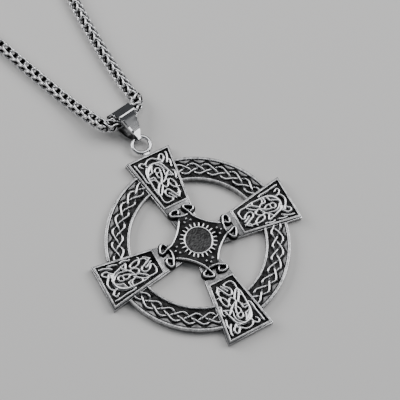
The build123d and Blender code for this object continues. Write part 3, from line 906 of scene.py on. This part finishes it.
def hub_strand_rows():
    """One strand round the whole hub: an arc along each hollow side and a knot at each tip."""
    rows = []
    crown = hub_height - hub_strand_lift
    across = hub_arc_centre - hub_tip
    reach = degrees(atan2(across, sqrt(hub_arc_radius ** 2 - across ** 2)))
    knot_width = hub_strand_width * knot_width_share
    centre = Vector((hub_arc_centre, hub_arc_centre, 0))
    for k in range(4):
        turn = turn_of(-90 * k)
        for x_share, y_share, rise in tip_knot:
            place = turn @ Vector((x_share * hub_tip, y_share * hub_tip, 0))
            rows.append((place.x, place.y, crown + rise * hub_strand_lift, knot_width))
        for i in range(1, hub_arc_steps):
            angle = radians(180 + reach + (90 - 2 * reach) * i / hub_arc_steps)
            place = turn @ (centre + hub_arc_radius * Vector((cos(angle), sin(angle), 0)))
            rows.append((place.x, place.y, crown, hub_strand_width))
    return rows


def knot_shadow_runs():
    """The line of each tip's knot, for the low black bed under it: a painted shadow round the knot."""
    runs = []
    for k in range(4):
        turn = turn_of(-90 * k)
        places = [turn @ Vector((across, along, 0)) * hub_tip for across, along, _ in tip_knot]
        runs.append([(place.x, place.y, knot_shadow_height, knot_shadow_width) for place in places])
    return runs


def model_centre_ring(profile):
    """The round strand about the sunk middle."""
    rows = []
    for i in range(centre_ring_steps):
        turn = 2 * pi * i / centre_ring_steps
        place = (centre_ring_middle * cos(turn), centre_ring_middle * sin(turn))
        rows.append((*place, hub_height - centre_ring_drop, centre_ring_width))
    return strands("centre_ring", [rows], hub_floor - floor_cover, profile, closed=True)


def model_rays():
    """Round-topped bars standing round the centre ring like a sun's rays."""
    nothing_selected()
    low = hub_floor - floor_cover
    high = hub_height - ray_drop
    bpy.ops.mesh.primitive_cube_add(size=1, location=((ray_from + ray_to) / 2, 0, (low + high) / 2))
    bpy.context.object.scale = (ray_to - ray_from, ray_width, high - low)
    ray = started("ray")
    pick(ray, lambda co, normal: normal.x > 0.9)
    bpy.ops.transform.resize(value=(1, ray_taper, 1), center_override=(ray_to, 0, low))
    bpy.ops.object.mode_set(mode="OBJECT")
    round_edges(ray, ray_bevel)
    smooth(ray)
    rays = [turned_copy(ray, "ray", turn_of(360 * k / ray_count)) for k in range(ray_count)]
    bpy.data.objects.remove(ray)
    return joined("hub_rays", rays)


def model_dots():
    """Small domes, three behind each tip of the hub."""
    nothing_selected()
    bpy.ops.mesh.primitive_uv_sphere_add(segments=16, ring_count=8, radius=dot_radius)
    bpy.context.object.scale = (1, 1, dot_stretch)
    dot = started("dot")
    smooth(dot)
    dots = []
    for k in range(4):
        for across, along in dot_places:
            place = Matrix.Translation((across * hub_tip, along * hub_tip, hub_floor + dot_seat))
            dots.append(turned_copy(dot, "dot", turn_of(90 * k) @ place))
    bpy.data.objects.remove(dot)
    return joined("hub_dots", dots)


def model_centre_disc():
    """The sunk middle, slightly dished and left rough."""
    nothing_selected()
    middle = (0, 0, disc_height - disc_thickness / 2)
    bpy.ops.mesh.primitive_cylinder_add(
        vertices=64, radius=centre_ring_middle, depth=disc_thickness, location=middle
    )
    disc = started("centre_disc")
    pick(disc, lambda co, normal: normal.z > 0.9)
    for _ in range(dish_steps):
        bpy.ops.mesh.inset(thickness=dish_step_width, depth=-dish_step_drop)
    bpy.ops.object.mode_set(mode="OBJECT")
    smooth(disc)
    return disc


# Hanging loop, bail and clasp

def model_hanging_loop():
    """A round loop of wire on a short neck at the upper arm's end."""
    nothing_selected()
    middle = arm_reach + loop_neck + loop_outer
    bpy.ops.mesh.primitive_torus_add(
        major_radius=loop_outer - loop_wire / 2, minor_radius=loop_wire / 2,
        major_segments=64, minor_segments=18, location=(0, middle, loop_height)
    )
    loop = started("loop")
    nothing_selected()
    low = arm_reach - rim_width / 2
    high = arm_reach + loop_neck + loop_wire / 2
    bpy.ops.mesh.primitive_cube_add(size=1, location=(0, (low + high) / 2, loop_height))
    bpy.context.object.scale = (loop_neck_width, high - low, loop_neck_thickness)
    neck = started("neck")
    round_edges(neck, loop_neck_bevel)
    whole = joined("hanging_loop", [loop, neck])
    smooth(whole)
    return whole


def on_front(co, along):
    """Whether a corner of the bail lies on its raised front, at one distance from the foot."""
    front = bail_front_height + bail_front_climb * (along - bail_front_start)
    return abs(co.y - along) < near and co.z > front + bail_border_rise * 0.8


def model_bail():
    """The folded strip, taken from its solid, with a raised border, a dished front and painted shade on its
    inside.
    """
    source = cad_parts["bail"]
    bail = source.copy()
    bail.data = source.data.copy()
    bail.data.transform(Matrix.Scale(metre, 4))
    bail.parent = None
    for key in list(bail.keys()):
        del bail[key]
    bail.name = "folded_bail"
    bpy.context.collection.objects.link(bail)
    make_active(bail)
    bpy.ops.object.mode_set(mode="EDIT")
    bpy.ops.mesh.select_all(action="SELECT")
    bpy.ops.mesh.remove_doubles(threshold=0.002)
    bpy.ops.mesh.dissolve_limited(angle_limit=radians(1))
    bpy.ops.object.mode_set(mode="OBJECT")
    contact = loop_outer - loop_wire / 2
    lean = radians(bail_lean)
    hook = arm_reach + loop_neck + loop_outer
    foot = Vector((-sin(lean) * contact, hook + cos(lean) * contact, loop_height))
    own_frame = Matrix.Translation(foot) @ Matrix.Rotation(lean, 4, "Z")
    own_frame = own_frame @ Matrix.Rotation(radians(bail_slope), 4, "X")
    own_frame = own_frame @ Matrix.Rotation(radians(bail_roll), 4, "Y")
    bail.data.transform(own_frame.inverted())
    pick(bail, lambda co, normal: normal.z > 0.97 and normal.y < -0.1)
    bpy.ops.mesh.inset(thickness=bail_border, depth=bail_border_rise)
    bpy.ops.transform.translate(value=(bail_border_shift, 0, 0))
    bpy.ops.object.mode_set(mode="OBJECT")
    for along, _ in bail_dish:
        cut_across(bail, (0, along, 0), (0, 1, 0))
    for along, drop in bail_dish:
        pick(bail, lambda co, normal: on_front(co, along), kind="VERT")
        bpy.ops.transform.translate(value=(0, 0, -drop))
        bpy.ops.object.mode_set(mode="OBJECT")
    round_edges(bail, bail_bevel, segments=2, angle=30.0)
    smooth(bail, 4.0)
    bail.data.materials.clear()
    give_finishes(bail, bail_steel, bail_painted_shade)
    # Faces turned to the other leg and under the fold take the dark steel: painted shade inside the fold.
    for face in bail.data.polygons:
        faces_other_leg = face.center.z * face.normal.z < -0.5
        under_fold = face.center.y > bail_fold_at and face.normal.y < -0.9
        if faces_other_leg or under_fold:
            face.material_index = 1
    bail.data.transform(own_frame)
    return bail


def in_groove(co, normal, place, middle, radius):
    """Whether a face lies on the barrel's outside, in the groove at one place along it."""
    outward = (Vector((0, co.y, co.z)) - Vector((0, middle.y, middle.z))).length
    beside = abs(co.x - middle.x - place)
    return beside < 0.1 and abs(normal.x) < 0.1 and outward > radius - 0.1


def model_clasp():
    """A barrel with turned grooves and a socket in each end."""
    nothing_selected()
    radius = (clasp_high.z - clasp_low.z) / 2 * metre
    length = (clasp_high.x - clasp_low.x) * metre
    middle = (clasp_low + clasp_high) / 2 * metre
    bpy.ops.mesh.primitive_cylinder_add(
        vertices=64, radius=radius, depth=length, location=middle, rotation=(0, pi / 2, 0)
    )
    clasp = started("barrel_clasp")
    for side in (-1, 1):
        pick(clasp, lambda co, normal: normal.x * side > 0.9)
        bpy.ops.mesh.inset(thickness=radius - chain_width / 2 - socket_clearance, depth=0)
        pull(-side * socket_depth, 0, 0)
        bpy.ops.object.mode_set(mode="OBJECT")
    for place in groove_places:
        for edge in (-groove_half_width, groove_half_width):
            cut_across(clasp, (middle.x + place + edge, 0, 0), (1, 0, 0))
    for place in groove_places:
        pick(clasp, lambda co, normal: in_groove(co, normal, place, middle, radius))
        bpy.ops.mesh.inset(thickness=groove_side, depth=-groove_depth)
        bpy.ops.object.mode_set(mode="OBJECT")
    face_outwards(clasp)
    round_edges(clasp, clasp_bevel, segments=2)
    smooth(clasp)
    return clasp


# Chain

def route_points():
    """Points along the smooth route, in millimetres."""
    curve = bpy.data.curves.new("chain_route", "CURVE")
    curve.dimensions = "3D"
    curve.resolution_u = 24
    spline = curve.splines.new("NURBS")
    spline.points.add(len(chain_route) - 1)
    for point, place in zip(spline.points, chain_route):
        point.co = (*place, 1)
    spline.order_u = 3
    spline.use_endpoint_u = True
    holder = bpy.data.objects.new("chain_route", curve)
    bpy.context.collection.objects.link(holder)
    bpy.context.view_layer.update()
    line = bpy.data.meshes.new_from_object(holder)
    points = [corner.co * metre for corner in line.vertices]
    bpy.data.objects.remove(holder)
    bpy.data.meshes.remove(line)
    return points


def evenly_spaced(points, step):
    """Places and directions at equal steps along a line of points."""
    spots = []
    travelled = 0.0
    wanted = step / 2
    for here, there in zip(points, points[1:]):
        run = there - here
        length = run.length
        while wanted <= travelled + length and length > 0:
            spots.append((here + run * ((wanted - travelled) / length), run.normalized()))
            wanted += step
        travelled += length
    return spots


def model_link():
    """One closed loop of wire, folded in two so that both its round ends point on along the chain."""
    half = link_quarter[::-1] + [(-out, side, on, wire) for out, side, on, wire in link_quarter[1:]]
    loop = half + [(out, -side, on, wire) for out, side, on, wire in half[-2:0:-1]]
    curve = bpy.data.curves.new("link", "CURVE")
    curve.dimensions = "3D"
    # A wire of radius 0.5, so that each point's radius is the wire's thickness there.
    curve.bevel_depth = 0.5
    curve.bevel_resolution = 1
    spline = curve.splines.new("POLY")
    spline.points.add(len(loop) - 1)
    for point, (out, side, on, wire) in zip(spline.points, loop):
        point.co = (out, side, on, 1)
        point.radius = wire
    spline.use_cyclic_u = True
    link = bpy.data.objects.new("link", curve)
    bpy.context.collection.objects.link(link)
    make_active(link)
    bpy.ops.object.convert(target="MESH")
    link = bpy.context.object
    face_outwards(link)
    smooth(link, 180.0)
    return link


def model_chain():
    """Folded links, each a quarter turn from the last, threaded along the route."""
    link = model_link()
    corners = [corner.co.copy() for corner in link.data.vertices]
    faces = [tuple(face.vertices) for face in link.data.polygons]
    reaches = [corner.xy.length for corner in corners]
    bpy.data.objects.remove(link)
    spots = evenly_spaced(route_points(), link_step)
    placed = []
    for number, (place, along) in enumerate(spots):
        across = Vector(link_face).cross(along).normalized()
        upright = along.cross(across)
        frame_of_link = Matrix((across, upright, along)).transposed()
        quarter = Matrix.Rotation(radians(link_roll + 90 * (number % 2)), 3, "Z")
        lifted = place + Vector((0, 0, link_lift))
        placed.append([lifted + frame_of_link @ quarter @ corner for corner in corners])
    halves = {"chain_left": placed[:len(placed) // 2], "chain_right": placed[len(placed) // 2:]}
    pieces = []
    for name, links in halves.items():
        mesh = bpy.data.meshes.new(name)
        all_corners = [corner for link_corners in links for corner in link_corners]
        all_faces = []
        for number in range(len(links)):
            start = number * len(corners)
            all_faces.extend(tuple(start + corner for corner in face) for face in faces)
        mesh.from_pydata(all_corners, [], all_faces)
        # Each corner's reach from the chain's middle line, which sets the wire's painted shade.
        outward = mesh.attributes.new("outward", "FLOAT", "POINT")
        outward.data.foreach_set("value", reaches * len(links))
        piece = bpy.data.objects.new(name, mesh)
        bpy.context.collection.objects.link(piece)
        smooth(piece, 180.0)
        pieces.append(piece)
    return pieces


# Stage

def make_floor():
    nothing_selected()
    bpy.ops.mesh.primitive_plane_add(size=4, location=(0, 0, 0))
    floor = started("floor")
    material, nodes, links, shader = new_material("pale_floor")
    shader.inputs["Base Color"].default_value = (0.8, 0.79, 0.78, 1)
    shader.inputs["Roughness"].default_value = 0.85
    floor.data.materials.append(material)


def make_softbox(name, place, aim, size, power):
    light = bpy.data.lights.new(name, "AREA")
    light.shape = "RECTANGLE"
    light.size = size[0]
    light.size_y = size[1]
    light.energy = power
    box = bpy.data.objects.new(name, light)
    bpy.context.collection.objects.link(box)
    box.location = place
    box.rotation_euler = (Vector(aim) - Vector(place)).to_track_quat("-Z", "Y").to_euler()


def make_lights():
    world = bpy.data.worlds.new("studio")
    bpy.context.scene.world = world
    world.use_nodes = True
    background = world.node_tree.nodes["Background"]
    background.inputs["Color"].default_value = (0.9, 0.95, 1.0, 1)
    background.inputs["Strength"].default_value = 0.12
    middle = (0, 0.02, 0)
    make_softbox("overhead_light", place=(0.22, 0.28, 0.8), aim=middle, size=(0.5, 0.5), power=2.0)
    make_softbox("left_light", place=(-0.38, 0.5, 0.4), aim=middle, size=(0.5, 0.4), power=2.6)
    make_softbox("right_light", place=(0.53, -0.02, 0.58), aim=middle, size=(0.5, 0.4), power=2.4)
    make_softbox("side_light", place=(0.58, -0.19, 0.335), aim=(0, 0.04, 0), size=(0.3, 0.12), power=0.045)
    make_softbox("low_light", place=(0.6, -0.38, 0.1), aim=middle, size=(0.14, 0.14), power=0.25)


def make_camera():
    azimuth = radians(camera_azimuth)
    elevation = radians(camera_elevation)
    back = Vector((sin(azimuth) * cos(elevation), -cos(azimuth) * cos(elevation), sin(elevation)))
    upright = (-back).to_track_quat("-Z", "Y").to_matrix().to_4x4()
    camera_data = bpy.data.cameras.new("camera")
    camera_data.lens = camera_lens
    camera_data.sensor_width = sensor_width
    camera_data.clip_start = 0.01
    camera = bpy.data.objects.new("camera", camera_data)
    bpy.context.collection.objects.link(camera)
    camera.matrix_world = Matrix.Translation(camera_place) @ upright @ turn_of(camera_roll)
    bpy.context.scene.camera = camera


make_camera()
make_lights()
make_floor()

profile = strand_profile()
for arm in four_round(model_arm(), "arm"):
    dress_cross(arm)
for relief in four_round(model_panel_relief(profile), "relief"):
    dress_cross(relief, panel_steel)
for band in four_round(tidy_ring(model_ring_quarter()), "ring"):
    dress_cross(band)

plait = model_plait(profile)
for k, quarter in enumerate(quarters):
    place = turn_of(90 * k)
    if k % 2:
        # Every other quarter is the mirror image of its neighbours.
        place = turn_of(90 * (k + 1)) @ Matrix.Scale(-1, 4, (0, 1, 0))
    quarter_plait = turned_copy(plait, quarter + "_plait", place)
    face_outwards(quarter_plait)
    dress_cross(quarter_plait, plait_steel)
bpy.data.objects.remove(plait)

for wedges in four_round(model_wedges(), "wedges"):
    dress_cross(wedges, wedge_steel)

dress_cross(model_hub_plate())
# A black strand under each tip's knot: a painted shadow round the knot.
knot_shadow = strands("knot_shadow", knot_shadow_runs(), arm_step_height - floor_cover, profile)
dress_cross(knot_shadow, floor_black)
hub_strand = strands("hub_strand", [hub_strand_rows()], arm_step_height - floor_cover, profile, closed=True)
dress_cross(hub_strand, hub_steel)
dress_cross(model_centre_ring(profile), hub_steel)
dress_cross(model_rays(), hub_steel)
dress_cross(model_dots(), dot_steel)
dress_cross(model_centre_disc(), disc_grey)
dress_cross(model_hanging_loop(), polish_and_highlight_steel)
hand_over(model_bail(), "bail", "polished_steel")
hand_over(model_clasp(), "clasp", "clasp_steel", clasp_finish)
for half in model_chain():
    hand_over(half, "chain", "chain_steel", link_steel_painted_shade)
bpy.data.objects.remove(profile)

nothing_selected()
